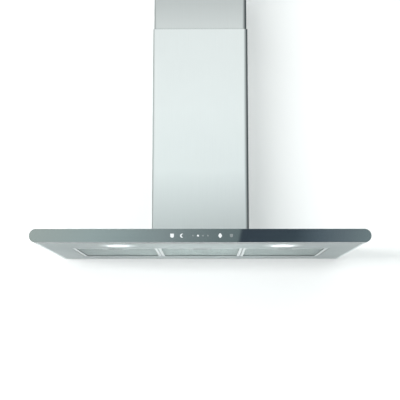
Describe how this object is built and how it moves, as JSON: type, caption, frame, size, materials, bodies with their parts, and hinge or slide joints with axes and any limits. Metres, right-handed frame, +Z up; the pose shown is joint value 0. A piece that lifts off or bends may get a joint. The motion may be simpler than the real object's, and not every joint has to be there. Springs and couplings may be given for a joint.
{
  "type": "chimney range hood",
  "caption": "Wall-mounted chimney range hood with a thin canopy, round-ended dark glass front, drop-down grease filters, lamps, blower and telescopic steel chimney.",
  "frame": {"origin": "on the wall, in the middle of the canopy's back panel, half way up its height", "axes": "+Z up, +Y into the wall, so the glass front faces -Y and +X is to the right of someone facing the hood"},
  "size_m": [0.898, 0.5, 0.8608],
  "materials": {
    "stainless": "satin brushed",
    "fascia_glass": "polished, dark tinted",
    "galvanised_steel": "galvanised",
    "filter_aluminium": "washed aluminium",
    "spring_steel": "bright",
    "grey_plastic": "moulded",
    "black_plastic": "moulded",
    "white_plastic": "moulded",
    "lens": "frosted diffuser",
    "heat_sink": "cast",
    "circuit_board": "lacquered board",
    "zinc": "zinc plated",
    "motor": "satin"
  },
  "bodies": {
    "canopy": {"canopy_shell": "stainless", "glass_fascia": "fascia_glass", "fascia_carrier": "stainless", "control_board": "circuit_board", "control_board_tray": "black_plastic", "underside_panel": "stainless", "lamp_bezels": "stainless", "lamp_lenses": "lens", "lamp_left_module": "heat_sink", "lamp_right_module": "heat_sink", "lower_chimney": "stainless", "chimney_glides": "white_plastic", "chimney_angles": "galvanised_steel", "blower_box": "galvanised_steel", "scroll_housing": "grey_plastic", "scroll_side_plate": "grey_plastic", "fan_motor": "motor", "motor_bracket": "galvanised_steel", "motor_bracket_screws": "zinc", "inlet_guard": "grey_plastic", "outlet_collar": "black_plastic", "damper_pin": "zinc", "wall_rail": "galvanised_steel", "terminal_box": "grey_plastic", "terminal_box_lid": "grey_plastic", "cable_gland": "black_plastic", "capacitor": "heat_sink", "capacitor_clip": "zinc", "lamp_driver": "white_plastic", "blower_box_screws": "zinc"},
    "upper_chimney": {"upper_chimney": "stainless", "ceiling_bracket": "galvanised_steel", "chimney_screws": "zinc"},
    "impeller": {"impeller": "black_plastic", "motor_shaft": "motor"},
    "flap_front": {"damper_flap_front": "black_plastic"},
    "flap_back": {"damper_flap_back": "black_plastic"},
    "filter_left": {"filter_left_frame": "filter_aluminium", "filter_left_mesh": "filter_aluminium", "filter_left_pull": "filter_aluminium", "filter_left_catch_spring": "spring_steel"},
    "filter_center": {"filter_center_frame": "filter_aluminium", "filter_center_mesh": "filter_aluminium", "filter_center_pull": "filter_aluminium", "filter_center_catch_spring": "spring_steel"},
    "filter_right": {"filter_right_frame": "filter_aluminium", "filter_right_mesh": "filter_aluminium", "filter_right_pull": "filter_aluminium", "filter_right_catch_spring": "spring_steel"}
  },
  "joints": [
    {"name": "chimney_slide", "type": "slide", "parent": "canopy", "child": "upper_chimney", "axis": [0, 0, 1], "range_m": [-0.16, 0.24]},
    {"name": "impeller_spin", "type": "hinge", "parent": "canopy", "child": "impeller", "pos_m": [0, -0.162, 0.143], "axis": [1, 0, 0], "continuous": true},
    {"name": "flap_front_swing", "type": "hinge", "parent": "canopy", "child": "flap_front", "pos_m": [0, -0.0905, 0.2931], "axis": [-1, 0, 0], "range_deg": [0, 75]},
    {"name": "flap_back_swing", "type": "hinge", "parent": "canopy", "child": "flap_back", "pos_m": [0, -0.0905, 0.2931], "axis": [1, 0, 0], "range_deg": [0, 75]},
    {"name": "filter_left_swing", "type": "hinge", "parent": "canopy", "child": "filter_left", "pos_m": [-0.2395, -0.091, -0.0167], "axis": [1, 0, 0], "range_deg": [0, 70], "deforming": ["filter_left_catch_spring"]},
    {"name": "filter_center_swing", "type": "hinge", "parent": "canopy", "child": "filter_center", "pos_m": [0, -0.091, -0.0167], "axis": [1, 0, 0], "range_deg": [0, 70], "deforming": ["filter_center_catch_spring"]},
    {"name": "filter_right_swing", "type": "hinge", "parent": "canopy", "child": "filter_right", "pos_m": [0.2395, -0.091, -0.0167], "axis": [1, 0, 0], "range_deg": [0, 70], "deforming": ["filter_right_catch_spring"]}
  ]
}
